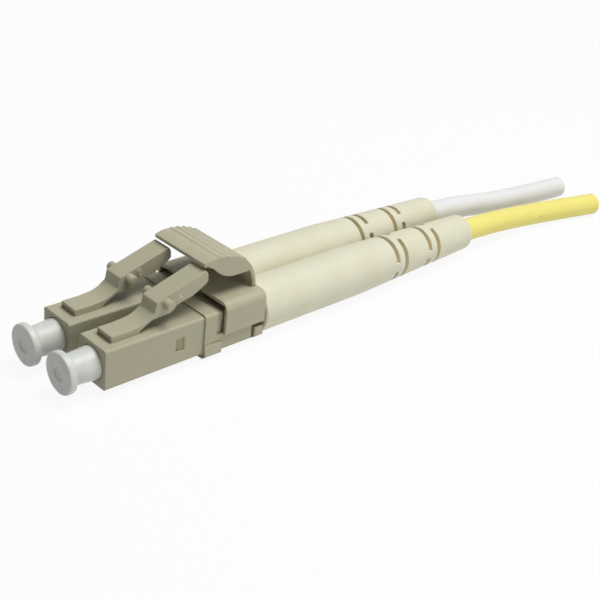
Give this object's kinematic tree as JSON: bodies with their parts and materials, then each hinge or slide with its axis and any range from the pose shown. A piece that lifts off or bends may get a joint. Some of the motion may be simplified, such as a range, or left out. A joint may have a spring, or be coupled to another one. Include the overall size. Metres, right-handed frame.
{
  "type": "lc fibre connector",
  "caption": "Duplex fibre optic plug: two square single-fibre plugs with latches, joined by a clip with a press trigger, dust caps, tapered slit boots and short cut cables.",
  "frame": {"origin": "midway between the two ferrule axes, in the plane of the housings' front faces", "axes": "+X the mating direction, +Z towards the latches, +Y towards the plug with the yellow cable"},
  "size_m": [0.0904, 0.0132, 0.011],
  "materials": {
    "housing_plastic": "fine matt moulding, grey-beige",
    "clip_plastic": "fine matt moulding, grey-beige",
    "zirconia": "polished white ceramic",
    "flange_metal": "nickel-plated brass",
    "spring_steel": "drawn stainless wire",
    "post_metal": "nickel-plated, turned",
    "crimp_metal": "annealed tube, plated",
    "boot_rubber": "satin ivory elastomer",
    "cap_plastic": "soft white polyethylene, slightly milky",
    "jacket_yellow": "satin extruded jacket",
    "jacket_white": "satin extruded jacket",
    "yarn": "loose aramid strands",
    "fibre_coating": "tight buffer, white"
  },
  "bodies": {
    "plug_pair": {"plug_housing_a": "housing_plastic", "ferrule_spring_a": "spring_steel", "rear_body_a": "post_metal", "crimp_sleeve_a": "crimp_metal", "boot_a": "boot_rubber", "cable_jacket_a": "jacket_yellow", "aramid_yarn_a": "yarn", "coated_fibre_a": "fibre_coating", "plug_housing_b": "housing_plastic", "ferrule_spring_b": "spring_steel", "rear_body_b": "post_metal", "crimp_sleeve_b": "crimp_metal", "boot_b": "boot_rubber", "cable_jacket_b": "jacket_white", "aramid_yarn_b": "yarn", "coated_fibre_b": "fibre_coating", "duplex_clip": "clip_plastic"},
    "trigger": {"trigger": "clip_plastic"},
    "latch_a": {"latch_lever_a": "housing_plastic"},
    "ferrule_a": {"ferrule_a": "zirconia", "ferrule_flange_a": "flange_metal"},
    "cap_a": {"dust_cap_a": "cap_plastic"},
    "latch_b": {"latch_lever_b": "housing_plastic"},
    "ferrule_b": {"ferrule_b": "zirconia", "ferrule_flange_b": "flange_metal"},
    "cap_b": {"dust_cap_b": "cap_plastic"}
  },
  "joints": [
    {"name": "trigger_press", "type": "hinge", "parent": "plug_pair", "child": "trigger", "pos_m": [-0.01975, 0, 0.00302], "axis": [0, 1, 0], "range_deg": [0, 10], "stiffness_Nm_per_rad": 0.05, "springref_deg": -4.58},
    {"name": "latch_a_press", "type": "hinge", "parent": "plug_pair", "child": "latch_a", "pos_m": [-0.00435, 0.00313, 0.00272], "axis": [0, -1, 0], "range_deg": [0, 8], "stiffness_Nm_per_rad": 0.03, "springref_deg": -2.86},
    {"name": "ferrule_a_float", "type": "slide", "parent": "plug_pair", "child": "ferrule_a", "axis": [-1, 0, 0], "range_m": [0, 0.0006], "stiffness_N_per_m": 1200, "springref_m": -0.004, "deforming": ["ferrule_spring_a"]},
    {"name": "cap_a_pull", "type": "slide", "parent": "plug_pair", "child": "cap_a", "axis": [1, 0, 0], "range_m": [0, 0.008]},
    {"name": "latch_b_press", "type": "hinge", "parent": "plug_pair", "child": "latch_b", "pos_m": [-0.00435, -0.00313, 0.00272], "axis": [0, -1, 0], "range_deg": [0, 8], "stiffness_Nm_per_rad": 0.03, "springref_deg": -2.86},
    {"name": "ferrule_b_float", "type": "slide", "parent": "plug_pair", "child": "ferrule_b", "axis": [-1, 0, 0], "range_m": [0, 0.0006], "stiffness_N_per_m": 1200, "springref_m": -0.004, "deforming": ["ferrule_spring_b"]},
    {"name": "cap_b_pull", "type": "slide", "parent": "plug_pair", "child": "cap_b", "axis": [1, 0, 0], "range_m": [0, 0.008]}
  ],
  "couplings": [
    {"joint": "latch_a_press", "follows": "trigger_press", "ratio": 0.8},
    {"joint": "latch_b_press", "follows": "trigger_press", "ratio": 0.8}
  ]
}
